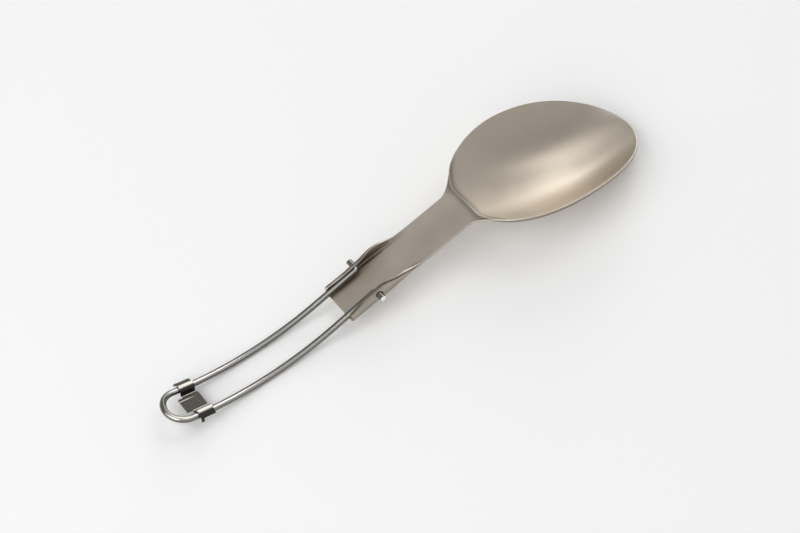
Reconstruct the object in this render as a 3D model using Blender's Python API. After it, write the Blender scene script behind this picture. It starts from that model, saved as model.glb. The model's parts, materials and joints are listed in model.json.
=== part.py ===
"""Folding spoon: one pressed titanium head, one bent wire handle that folds in it, one sliding clip.

The spoon lies along X with the bowl at +X and the handle at -X. Z is up, and the table is at zero.
Everything is in metres. The origin is below the middle of the opened spoon.
"""

from math import atan, cos, pi, radians, sin, sqrt, tan

import bmesh
import bpy
import numpy as np
from mathutils import Vector

# Overall
OVERALL_LENGTH = 0.167

# Wire handle
WIRE_DIAMETER = 0.0019
LEG_SPACING_REAR = 0.0105
LEG_SPACING_FRONT = 0.0097
LEG_BOW_RADIUS = 0.085
LEG_BOW_REAR_ANGLE = radians(17.5)
LEG_BOW_FRONT_ANGLE = radians(15.9)
LEG_STRAIGHT_LENGTH = 0.01495
PIN_BEND_RADIUS = 0.00105
PIN_PROUD_LENGTH = 0.0015
PIN_END_CHAMFER = 0.0002
WIRE_SIDES = 16
BOW_STEPS = 14
LEG_STRAIGHT_STEPS = 3
END_LOOP_STEPS = 16
PIN_BEND_STEPS = 5

# Head sheet, channel and neck
SHEET_THICKNESS = 0.00085
CHANNEL_TO_PIN = 0.0102
FLOOR_ANGLE = radians(12.95)
LEG_FLOOR_CLEARANCE = 0.0001
LEG_SIDE_CLEARANCE = 0.00012
PIN_CLEARANCE = 0.00015
LIP_CURL = 0.00023
CHANNEL_BEND_RADIUS = 0.0006
FLANGE_HEIGHT = 0.00335
FLANGE_END_DROP = 0.0011
FLANGE_END_ROUND = 0.0005
FLANGE_RISE_LENGTH = 0.013
FLANGE_UPRIGHT_PAST_PIN = 0.0035
FLANGE_OPENING_LENGTH = 0.017
FLANGE_LEVEL_PAST_PIN = 0.0085
FLANGE_RUN_OUT_LENGTH = 0.0105
NECK_WIDTH = 0.0126
NECK_EDGE_STRIP = 0.0013
NECK_TROUGH_DEPTH = 0.00105

# Bowl
BOWL_INSIDE_WIDTH = 0.0405
BOWL_WIDEST_TO_TIP = 0.0354
BOWL_WIDEST_TO_BACK = 0.0282
BOWL_FRONT_POWER = 0.53
BOWL_DEEPEST_TO_TIP = 0.0213
BOWL_BACK_WALL_LENGTH = 0.0409
BOWL_BACK_WALL_RISE = 0.01395
BOWL_BACK_WALL_POWER = 1.8
BOWL_ACROSS_POWER = 2.35
BOWL_TIP_RISE = 0.00306
RIM_HEIGHT = 0.0158
RIM_LEVEL_TO_TIP = 0.0457
RIM_FALL_POWER = 2.1
CREST_BLEND = 0.0005
SHOULDER_LENGTH = 0.0095
SHOULDER_TO_WIDEST = 0.0213

# Head mesh
CHANNEL_ROWS = 20
NECK_ROWS = 6
BACK_ROWS = 22
FRONT_ROWS = 17
BASE_COLUMNS = 14
BEND_COLUMNS = 3
WALL_COLUMNS = 3

# Slider
SLIDER_SHEET = 0.0003
SLIDER_WIRE_CLEARANCE = 0.00022
SLIDER_TUBE_LENGTH = 0.00465
SLIDER_PLATE_LENGTH = 0.0066
SLIDER_PLATE_DEPTH = 0.0005
SLIDER_PLATE_LEAD = 0.00035
SLIDER_FOOT_RADIUS = 0.00035
SLIDER_LEDGE_WIDTH = 0.0006
SLIDER_LEDGE_HEIGHT = 0.0002
SLIDER_FLAP_ANGLE = radians(26)
SLIDER_FLAP_LENGTH = 0.00175
SLIDER_TAB_LENGTH = 0.0008
SLIDER_TAB_DROP = 0.0009
SLIDER_PARK_ANGLE = radians(14.7)
SLIDER_TURN_STEPS = 8
SLIDER_FOOT_STEPS = 3

# Materials: colour, roughness, metallic
TITANIUM = ((0.46, 0.40, 0.33), 0.42, 1.0)
POLISHED_WIRE = ((0.70, 0.69, 0.66), 0.12, 1.0)
POLISHED_CLIP = ((0.58, 0.56, 0.52), 0.18, 1.0)

# Places worked out from the sizes
WIRE_RADIUS = WIRE_DIAMETER / 2
TAIL_X = -OVERALL_LENGTH / 2
TIP_X = OVERALL_LENGTH / 2
END_LOOP_RADIUS = LEG_SPACING_REAR / 2
BOW_REAR_X = TAIL_X + WIRE_RADIUS + END_LOOP_RADIUS * cos(LEG_BOW_REAR_ANGLE)
BOW_CENTRE = Vector((BOW_REAR_X + LEG_BOW_RADIUS * sin(LEG_BOW_REAR_ANGLE), 0, LEG_BOW_RADIUS + WIRE_RADIUS))
BOW_FRONT_X = BOW_CENTRE.x + LEG_BOW_RADIUS * sin(LEG_BOW_FRONT_ANGLE)
BOW_FRONT_Z = BOW_CENTRE.z - LEG_BOW_RADIUS * cos(LEG_BOW_FRONT_ANGLE)
PIN_X = BOW_FRONT_X + LEG_STRAIGHT_LENGTH * cos(LEG_BOW_FRONT_ANGLE)
PIN_Z = BOW_FRONT_Z + LEG_STRAIGHT_LENGTH * sin(LEG_BOW_FRONT_ANGLE)
PIN = Vector((PIN_X, 0, PIN_Z))
LEG_FRONT_Y = LEG_SPACING_FRONT / 2
LIP_INNER_Y = LEG_FRONT_Y + WIRE_RADIUS + LEG_SIDE_CLEARANCE
WALL_INNER_Y = LIP_INNER_Y + LIP_CURL
WALL_OUTER_Y = WALL_INNER_Y + SHEET_THICKNESS
PIN_END_Y = WALL_OUTER_Y + PIN_PROUD_LENGTH
CHANNEL_END_X = PIN_X - CHANNEL_TO_PIN
LEG_DROP_AT_END = CHANNEL_TO_PIN * tan(LEG_BOW_FRONT_ANGLE)
LEG_UNDERSIDE_AT_END = PIN_Z - LEG_DROP_AT_END - WIRE_RADIUS / cos(LEG_BOW_FRONT_ANGLE)
FLOOR_END_Z = LEG_UNDERSIDE_AT_END - LEG_FLOOR_CLEARANCE / cos(LEG_BOW_FRONT_ANGLE)
OPENING_START_X = PIN_X + FLANGE_UPRIGHT_PAST_PIN
OPENING_END_X = OPENING_START_X + FLANGE_OPENING_LENGTH
TIP_INSIDE_X = TIP_X - SHEET_THICKNESS * sin(atan(2 * BOWL_TIP_RISE / BOWL_DEEPEST_TO_TIP))
BOWL_BOTTOM_X = TIP_INSIDE_X - BOWL_DEEPEST_TO_TIP
BOWL_WIDEST_X = TIP_INSIDE_X - BOWL_WIDEST_TO_TIP
SHOULDER_END_X = BOWL_WIDEST_X - SHOULDER_TO_WIDEST


def smooth_step(value, start, end):
    """Rise smoothly from nought at start to one at end."""
    share = np.clip((value - start) / (end - start), 0, 1)
    return share * share * (3 - 2 * share)


def smooth_min(first, second, blend):
    """The lower of two heights, rounded where they cross and lowered by a quarter of the blend there."""
    overlap = np.maximum(blend - np.abs(first - second), 0)
    return np.minimum(first, second) - overlap ** 2 / (4 * blend)


def floor_height(x):
    """Top of the straight incline of the channel floor and the neck."""
    return FLOOR_END_Z + (x - CHANNEL_END_X) * tan(FLOOR_ANGLE)


def flange_height(x):
    """Height of an upturned side of the channel above its floor."""
    rise = FLANGE_END_DROP * (1 - smooth_step(x, CHANNEL_END_X, CHANNEL_END_X + FLANGE_RISE_LENGTH))
    fall_start = PIN_X + FLANGE_LEVEL_PAST_PIN
    fall = 1 - smooth_step(x, fall_start, fall_start + FLANGE_RUN_OUT_LENGTH)
    corner = np.clip(1 - (x - CHANNEL_END_X) / FLANGE_END_ROUND, 0, 1)
    rounded = FLANGE_END_ROUND * (1 - np.sqrt(1 - corner * corner))
    return (FLANGE_HEIGHT - rise) * fall - rounded


def half_width(x):
    """Half the width of the head in plan: the neck, a curved shoulder, then two half ellipses for the bowl."""
    back_share = np.clip((BOWL_WIDEST_X - x) / BOWL_WIDEST_TO_BACK, 0, 1)
    front_share = np.clip((x - BOWL_WIDEST_X) / BOWL_WIDEST_TO_TIP, 0, 1)
    back = BOWL_INSIDE_WIDTH / 2 * np.sqrt(1 - back_share ** 2)
    front = BOWL_INSIDE_WIDTH / 2 * (1 - front_share ** 2) ** BOWL_FRONT_POWER
    return np.where(x > BOWL_WIDEST_X, front, np.where(x > SHOULDER_END_X, back, shoulder_half_width(x)))


def shoulder_half_width(x):
    """Half width along the shoulder: level with the neck at first, then meeting the bowl's slope."""
    end_share = SHOULDER_TO_WIDEST / BOWL_WIDEST_TO_BACK
    end_half = BOWL_INSIDE_WIDTH / 2 * sqrt(1 - end_share ** 2)
    end_slope = (BOWL_INSIDE_WIDTH / 2) ** 2 * end_share / (BOWL_WIDEST_TO_BACK * end_half)
    share = np.clip((x - SHOULDER_END_X + SHOULDER_LENGTH) / SHOULDER_LENGTH, 0, 1)
    weight = share * share * (3 - 2 * share)
    lean = end_slope * SHOULDER_LENGTH * (share ** 3 - share ** 2)
    return NECK_WIDTH / 2 * (1 - weight) + end_half * weight + lean


def bowl_centre_height(x):
    """Inside of the bowl along its middle: a long slope down from the neck, then a short rise to the tip."""
    back_share = np.maximum(BOWL_BOTTOM_X - x, 0) / BOWL_BACK_WALL_LENGTH
    front_share = np.maximum(x - BOWL_BOTTOM_X, 0) / BOWL_DEEPEST_TO_TIP
    back_rise = BOWL_BACK_WALL_RISE * back_share ** BOWL_BACK_WALL_POWER
    return SHEET_THICKNESS + back_rise + BOWL_TIP_RISE * front_share ** 2


def rim_height(x):
    """Inside edge of the rim: level along the back of the bowl, falling to the tip."""
    tip_height = SHEET_THICKNESS + BOWL_TIP_RISE
    fall_share = np.clip((x - TIP_INSIDE_X + RIM_LEVEL_TO_TIP) / RIM_LEVEL_TO_TIP, 0, 1)
    return RIM_HEIGHT - (RIM_HEIGHT - tip_height) * fall_share ** RIM_FALL_POWER


def dish_height(x, y):
    """Inner face of the neck and bowl: the incline with its shallow trough, cut by the bowl with a rounded crest."""
    centre = bowl_centre_height(x)
    across_share = np.abs(y) / np.maximum(half_width(x), SHEET_THICKNESS)
    dish = centre + (rim_height(x) - centre) * across_share ** BOWL_ACROSS_POWER
    hollow = smooth_step(x, OPENING_START_X, OPENING_END_X)
    edge_share = np.clip(np.abs(y) / (NECK_WIDTH / 2), 0, 1)
    trough = NECK_TROUGH_DEPTH * hollow * (1 - edge_share ** 2)
    return smooth_min(floor_height(x) - trough, dish, CREST_BLEND)


def channel_side(x):
    """Points (y, z) up one side of the channel, from the flat floor round the bend to the lip."""
    floor = floor_height(x)
    turns = np.linspace(0, pi / 2, BEND_COLUMNS + 1)[1:]
    bend_start = WALL_INNER_Y - CHANNEL_BEND_RADIUS
    across = list(bend_start + CHANNEL_BEND_RADIUS * np.sin(turns))
    up = list(CHANNEL_BEND_RADIUS * (1 - np.cos(turns)))
    top = max(flange_height(x), 2 * CHANNEL_BEND_RADIUS)
    for share in np.linspace(0, 1, WALL_COLUMNS + 1)[1:]:
        across.append(WALL_INNER_Y - LIP_CURL * share ** 2)
        up.append(CHANNEL_BEND_RADIUS + (top - CHANNEL_BEND_RADIUS) * share)
    return np.array(across), floor + np.array(up)


def head_row(x):
    """One row of points across the head's inner face at x, from the near edge to the far edge."""
    opened = float(smooth_step(x, OPENING_START_X, OPENING_END_X))
    edge = float(half_width(x))
    strip = min(NECK_EDGE_STRIP, edge / 2)
    channel_base = WALL_INNER_Y - CHANNEL_BEND_RADIUS
    base_half = channel_base + (edge - strip - channel_base) * opened
    base_y = np.linspace(-base_half, base_half, BASE_COLUMNS + 1)
    base_z = dish_height(x, base_y)
    wall_y, wall_z = channel_side(x)
    shares = np.linspace(0, 1, len(wall_y) + 1)[1:]
    flat_y = edge - strip + strip * shares
    flat_z = dish_height(x, flat_y)
    side_y = wall_y + (flat_y - wall_y) * opened
    side_z = wall_z + (flat_z - wall_z) * opened
    y = np.concatenate([-side_y[::-1], base_y, side_y])
    z = np.concatenate([side_z[::-1], base_z, side_z])
    return [Vector((x, across, up)) for across, up in zip(y, z)]


def head_stations():
    """The x of each row: close at the channel's end, along the neck, then spread round the bowl."""
    corner = CHANNEL_END_X + FLANGE_END_ROUND
    channel = np.concatenate([np.linspace(CHANNEL_END_X, corner, 4)[:-1],
                              np.linspace(corner, OPENING_END_X, CHANNEL_ROWS)[:-1]])
    shoulder_start = SHOULDER_END_X - SHOULDER_LENGTH
    neck = np.linspace(OPENING_END_X, shoulder_start, NECK_ROWS)[:-1]
    back = np.linspace(shoulder_start, BOWL_WIDEST_X, BACK_ROWS)[:-1]
    turns = np.linspace(0, pi / 2, FRONT_ROWS)
    front = BOWL_WIDEST_X + BOWL_WIDEST_TO_TIP * np.sin(turns)
    return np.concatenate([channel, neck, back, front[:-1]])


def new_object(name, mesh, material, parent=None, location=(0, 0, 0), rotation=(0, 0, 0)):
    """Put a mesh in the scene as a named sub-part with its material."""
    item = bpy.data.objects.new(name, mesh)
    bpy.context.scene.collection.objects.link(item)
    mesh.materials.append(material)
    item.parent = parent
    item.location = location
    item.rotation_euler = rotation
    return item


def new_material(name, look):
    """Plain Principled material with a colour, a roughness and a metallic value."""
    colour, roughness, metallic = look
    material = bpy.data.materials.new(name)
    material.use_nodes = True
    shader = material.node_tree.nodes["Principled BSDF"]
    shader.inputs["Base Color"].default_value = (*colour, 1)
    shader.inputs["Roughness"].default_value = roughness
    shader.inputs["Metallic"].default_value = metallic
    return material


def sheet_mesh(name, rows, keep):
    """Quads between rows of points, left out where keep says no."""
    bm = bmesh.new()
    grid = [[bm.verts.new(point) for point in row] for row in rows]
    for row in range(len(grid) - 1):
        for column in range(len(grid[row]) - 1):
            if keep(row, column):
                bm.faces.new([grid[row][column], grid[row + 1][column],
                              grid[row + 1][column + 1], grid[row][column + 1]])
    unused = [vert for vert in bm.verts if not vert.link_faces]
    bmesh.ops.delete(bm, geom=unused, context="VERTS")
    return finish_mesh(name, bm)


def sheet_normals(points, straight_rows):
    """Unit normals of a grid of points. Its first rows are a channel that runs straight up the incline."""
    along, across = np.gradient(points, axis=0), np.gradient(points, axis=1)
    along[:straight_rows] = (cos(FLOOR_ANGLE), 0, sin(FLOOR_ANGLE))
    normals = np.cross(along, across)
    return normals / np.linalg.norm(normals, axis=2, keepdims=True)


def shell_mesh(name, rows, straight_rows, tip, thickness):
    """A closed shell: a grid of points ending in a tip, and the same grid one thickness below it."""
    upper = np.array(rows)
    normals = sheet_normals(upper, straight_rows)
    lower = upper - normals * thickness
    tip_normal = Vector(normals[-1].mean(axis=0)).normalized()
    bm = bmesh.new()
    faces = []
    for points, end in ((upper, tip), (lower, tip - tip_normal * thickness)):
        grid = [[bm.verts.new(point) for point in row] for row in points]
        faces.append((grid, bm.verts.new(end)))
    for (grid, end), turn in zip(faces, (1, -1)):
        for row, following in zip(grid, grid[1:]):
            for column in range(len(row) - 1):
                corners = [row[column], following[column], following[column + 1], row[column + 1]]
                bm.faces.new(corners[::turn])
        for first, second in zip(grid[-1], grid[-1][1:]):
            bm.faces.new([first, end, second][::turn])
    outlines = []
    for grid, end in faces:
        outlines.append([row[0] for row in grid] + [end] + [row[-1] for row in reversed(grid)] + grid[0][-2:0:-1])
    upper_edge, lower_edge = outlines
    for index in range(len(upper_edge)):
        following = (index + 1) % len(upper_edge)
        bm.faces.new([upper_edge[index], lower_edge[index], lower_edge[following], upper_edge[following]])
    return finish_mesh(name, bm)


def finish_mesh(name, bm):
    """Turn a bmesh into a smooth mesh with its sharp edges kept."""
    mesh = bpy.data.meshes.new(name)
    bm.to_mesh(mesh)
    bm.free()
    mesh.shade_smooth()
    mesh.set_sharp_from_angle(angle=radians(35))
    return mesh


def cylinder_mesh(name, radius, length, sides):
    """A cylinder along Y, centred on its origin."""
    bm = bmesh.new()
    bmesh.ops.create_cone(bm, cap_ends=True, segments=sides, radius1=radius, radius2=radius, depth=length)
    for vert in bm.verts:
        vert.co = Vector((vert.co.x, -vert.co.z, vert.co.y))
    return finish_mesh(name, bm)


def make_head(material):
    """The pressed sheet: channel with two upturned sides, neck and bowl, with the pin holes cut."""
    stations = head_stations()
    rows = [head_row(x) for x in stations]
    straight_rows = int(np.sum(stations < OPENING_START_X))
    tip = Vector((TIP_INSIDE_X, 0, SHEET_THICKNESS + BOWL_TIP_RISE))
    mesh = shell_mesh("spoon_head", rows, straight_rows, tip, SHEET_THICKNESS)
    head = new_object("spoon_head", mesh, material)
    cutter = new_object("pin_hole_cutter",
                        cylinder_mesh("pin_hole_cutter", WIRE_RADIUS + PIN_CLEARANCE, 2 * PIN_END_Y, 2 * WIRE_SIDES),
                        material, location=PIN)
    cutter.hide_render = True
    cutter.display_type = "WIRE"
    holes = head.modifiers.new("Pin holes", "BOOLEAN")
    holes.operation = "DIFFERENCE"
    holes.solver = "EXACT"
    holes.object = cutter
    return head


def leg_path():
    """Centre line of the far leg from the pin's end back to the start of the end loop."""
    leg_run = PIN_X - BOW_REAR_X
    taper = (LEG_SPACING_REAR - LEG_SPACING_FRONT) / 2

    def leg_point(x, z):
        share = (PIN_X - x) / leg_run
        return Vector((x, LEG_FRONT_Y + taper * share, z))

    points = [Vector((PIN_X, PIN_END_Y, PIN_Z)), Vector((PIN_X, PIN_END_Y - PIN_END_CHAMFER, PIN_Z))]
    along = Vector((-cos(LEG_BOW_FRONT_ANGLE), 0, -sin(LEG_BOW_FRONT_ANGLE)))
    for turn in np.linspace(0, pi / 2, PIN_BEND_STEPS + 1):
        across = LEG_FRONT_Y + PIN_BEND_RADIUS * (1 - sin(turn))
        points.append(PIN + along * PIN_BEND_RADIUS * (1 - cos(turn)) + Vector((0, across, 0)))
    for share in np.linspace(0, 1, LEG_STRAIGHT_STEPS + 1)[1:]:
        run = PIN_BEND_RADIUS + (LEG_STRAIGHT_LENGTH - PIN_BEND_RADIUS) * share
        points.append(leg_point(PIN_X + along.x * run, PIN_Z + along.z * run))
    for angle in np.linspace(LEG_BOW_FRONT_ANGLE, -LEG_BOW_REAR_ANGLE, BOW_STEPS + 1)[1:]:
        points.append(leg_point(BOW_CENTRE.x + LEG_BOW_RADIUS * sin(angle), BOW_CENTRE.z - LEG_BOW_RADIUS * cos(angle)))
    return points


def wire_path():
    """Whole centre line: far pin, far leg, end loop, near leg, near pin, about the pin axis."""
    far = leg_path()
    near = [Vector((point.x, -point.y, point.z)) for point in reversed(far)]
    back = Vector((-cos(LEG_BOW_REAR_ANGLE), 0, sin(LEG_BOW_REAR_ANGLE)))
    middle = Vector((far[-1].x, 0, far[-1].z))
    loop = []
    for turn in np.linspace(0, pi, END_LOOP_STEPS + 1)[1:-1]:
        loop.append(middle + back * END_LOOP_RADIUS * sin(turn) + Vector((0, END_LOOP_RADIUS * cos(turn), 0)))
    return [point - PIN for point in far + loop + near]


def path_directions(path):
    """The direction of the path at each point, halfway between the runs on either side."""
    runs = [(after - before).normalized() for before, after in zip(path, path[1:])]
    inner = [(before + after).normalized() for before, after in zip(runs, runs[1:])]
    return [runs[0]] + inner + [runs[-1]]


def sweep_mesh(name, path, radii, sides):
    """A round wire along a path, with flat ends. The ring is carried along without twisting."""
    directions = path_directions(path)
    bm = bmesh.new()
    upward = Vector((-sin(LEG_BOW_FRONT_ANGLE), 0, cos(LEG_BOW_FRONT_ANGLE)))
    rings = []
    for index, (point, direction) in enumerate(zip(path, directions)):
        if index:
            upward.rotate(directions[index - 1].rotation_difference(direction))
        side = direction.cross(upward).normalized()
        ring = []
        for step in range(sides):
            turn = 2 * pi * step / sides
            ring.append(bm.verts.new(point + (upward * cos(turn) + side * sin(turn)) * radii[index]))
        rings.append(ring)
    for before, after in zip(rings, rings[1:]):
        for step in range(sides):
            following = (step + 1) % sides
            bm.faces.new([before[step], before[following], after[following], after[step]])
    bm.faces.new(list(reversed(rings[0])))
    bm.faces.new(rings[-1])
    bmesh.ops.recalc_face_normals(bm, faces=bm.faces)
    return finish_mesh(name, bm)


def make_handle(material, parent):
    """The bent wire, with its origin on the pin axis."""
    path = wire_path()
    radii = [WIRE_RADIUS] * len(path)
    radii[0] = radii[-1] = WIRE_RADIUS - PIN_END_CHAMFER
    mesh = sweep_mesh("wire_handle", path, radii, WIRE_SIDES)
    return new_object("wire_handle", mesh, material, parent, PIN)


def slider_profile():
    """Points (y, z) of half the clip's section, from the middle of the plate to the outer end.

    The plate lies between the legs. Its side steps up on a narrow ledge, turns up as a wall, goes
    over the leg and slopes down past it as a flap. Heights are from the leg's centre.
    """
    wrap_radius = WIRE_RADIUS + SLIDER_WIRE_CLEARANCE
    leg_y = (LEG_SPACING_REAR + LEG_SPACING_FRONT) / 4
    wall_y = leg_y - wrap_radius
    plate_z = -SLIDER_PLATE_DEPTH - SLIDER_SHEET
    ledge_z = plate_z + SLIDER_LEDGE_HEIGHT
    foot_y = wall_y - SLIDER_FOOT_RADIUS
    ledge_y = foot_y - SLIDER_LEDGE_WIDTH
    points = [(0, plate_z), (ledge_y - 2 * SLIDER_LEDGE_HEIGHT, plate_z), (ledge_y - SLIDER_LEDGE_HEIGHT, plate_z),
              (ledge_y, ledge_z)]
    for turn in np.linspace(0, pi / 2, SLIDER_FOOT_STEPS + 1):
        points.append((foot_y + SLIDER_FOOT_RADIUS * sin(turn), ledge_z + SLIDER_FOOT_RADIUS * (1 - cos(turn))))
    for turn in np.linspace(pi, pi / 2 - SLIDER_FLAP_ANGLE, SLIDER_TURN_STEPS + 1):
        points.append((leg_y + wrap_radius * cos(turn), wrap_radius * sin(turn)))
    flap_y, flap_z = points[-1]
    points.append((flap_y + SLIDER_FLAP_LENGTH * cos(SLIDER_FLAP_ANGLE),
                   flap_z - SLIDER_FLAP_LENGTH * sin(SLIDER_FLAP_ANGLE)))
    return points


def make_slider(material, parent):
    """The folded clip, with its origin on the axis of the bow that it travels round."""
    half = slider_profile()
    end_y, end_z = half[-1]
    tab = (end_y, end_z - SLIDER_TAB_DROP)
    profile = [(-y, z) for y, z in reversed(half[1:])] + half
    profile = [(-tab[0], tab[1])] + profile
    plate_columns = 3 + SLIDER_FOOT_STEPS
    middle = len(half)
    tube_front = SLIDER_TUBE_LENGTH / 2
    tube_rear = -tube_front
    plate_front = tube_front + SLIDER_PLATE_LEAD
    plate_rear = plate_front - SLIDER_PLATE_LENGTH
    stations = [plate_rear, tube_rear, tube_rear + SLIDER_TAB_LENGTH, tube_front, plate_front]
    rows = [[Vector((x, y, z - LEG_BOW_RADIUS)) for y, z in profile] for x in stations]

    def keep(row, column):
        if column == 0:
            return row == 1
        if 1 <= row <= 2:
            return True
        return middle - plate_columns <= column < middle + plate_columns

    mesh = sheet_mesh("lock_slider", rows, keep)
    slider = new_object("lock_slider", mesh, material, parent, BOW_CENTRE - PIN, (0, SLIDER_PARK_ANGLE, 0))
    sheet = slider.modifiers.new("Sheet", "SOLIDIFY")
    sheet.thickness = SLIDER_SHEET
    sheet.offset = 1
    sheet.use_even_offset = True
    return slider


def main():
    for item in list(bpy.data.objects):
        bpy.data.objects.remove(item)
    head = make_head(new_material("bead_blasted_titanium", TITANIUM))
    handle = make_handle(new_material("polished_wire", POLISHED_WIRE), head)
    make_slider(new_material("polished_clip", POLISHED_CLIP), handle)


main()
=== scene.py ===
"""Folding spoon: its smooth shapes, its metal finishes, and the pale table and soft light it is shown in.

Everything is in metres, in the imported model's frame: the spoon lies along X with the bowl at +X,
Z is up, and the near side of the photograph is -Y.
"""

import json
from math import atan, cos, pi, radians, sin, sqrt, tan

import bpy
import numpy as np
from bpy.props import FloatProperty, FloatVectorProperty, PointerProperty
from bpy.types import Operator, Panel, PropertyGroup
from mathutils import Matrix, Vector


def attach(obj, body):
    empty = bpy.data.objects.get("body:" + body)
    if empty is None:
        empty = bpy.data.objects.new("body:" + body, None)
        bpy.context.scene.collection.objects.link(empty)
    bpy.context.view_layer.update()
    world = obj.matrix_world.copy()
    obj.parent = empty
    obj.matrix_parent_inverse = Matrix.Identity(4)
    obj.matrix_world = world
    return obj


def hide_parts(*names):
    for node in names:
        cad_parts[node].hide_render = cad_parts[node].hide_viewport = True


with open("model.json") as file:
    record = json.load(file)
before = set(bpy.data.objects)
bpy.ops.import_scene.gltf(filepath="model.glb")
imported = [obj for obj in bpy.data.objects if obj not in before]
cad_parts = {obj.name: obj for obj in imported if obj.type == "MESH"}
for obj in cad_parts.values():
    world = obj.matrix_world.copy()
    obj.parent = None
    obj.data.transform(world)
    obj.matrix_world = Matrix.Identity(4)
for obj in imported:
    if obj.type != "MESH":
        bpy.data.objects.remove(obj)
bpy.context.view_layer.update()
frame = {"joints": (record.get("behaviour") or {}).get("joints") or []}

bl_info = {
    "name": "Folding spoon",
    "version": (1, 0, 0),
    "blender": (4, 5, 0),
    "location": "3D View > Sidebar > Spoon",
    "description": "Builds a folding spoon with a wire handle, and the stage it is shown on",
    "category": "Add Mesh",
}

JOINTS = {joint["name"]: joint for joint in frame["joints"]}
PIN = np.array(JOINTS["handle_fold"]["pos_m"])
BOW_CENTRE = np.array(JOINTS["slider_travel"]["pos_m"])


# Sizes and colours that a user would change


def length(name, description, value):
    """A length property with its usual settings."""
    return FloatProperty(name=name, description=description, default=value, min=0, precision=5,
                         unit="LENGTH")


def angle(name, description, value):
    """An angle property, given in degrees."""
    return FloatProperty(name=name, description=description, default=radians(value), subtype="ANGLE")


def colour(name, description, value):
    """A colour property."""
    return FloatVectorProperty(name=name, description=description, default=value, min=0, max=1,
                               subtype="COLOR")


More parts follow.
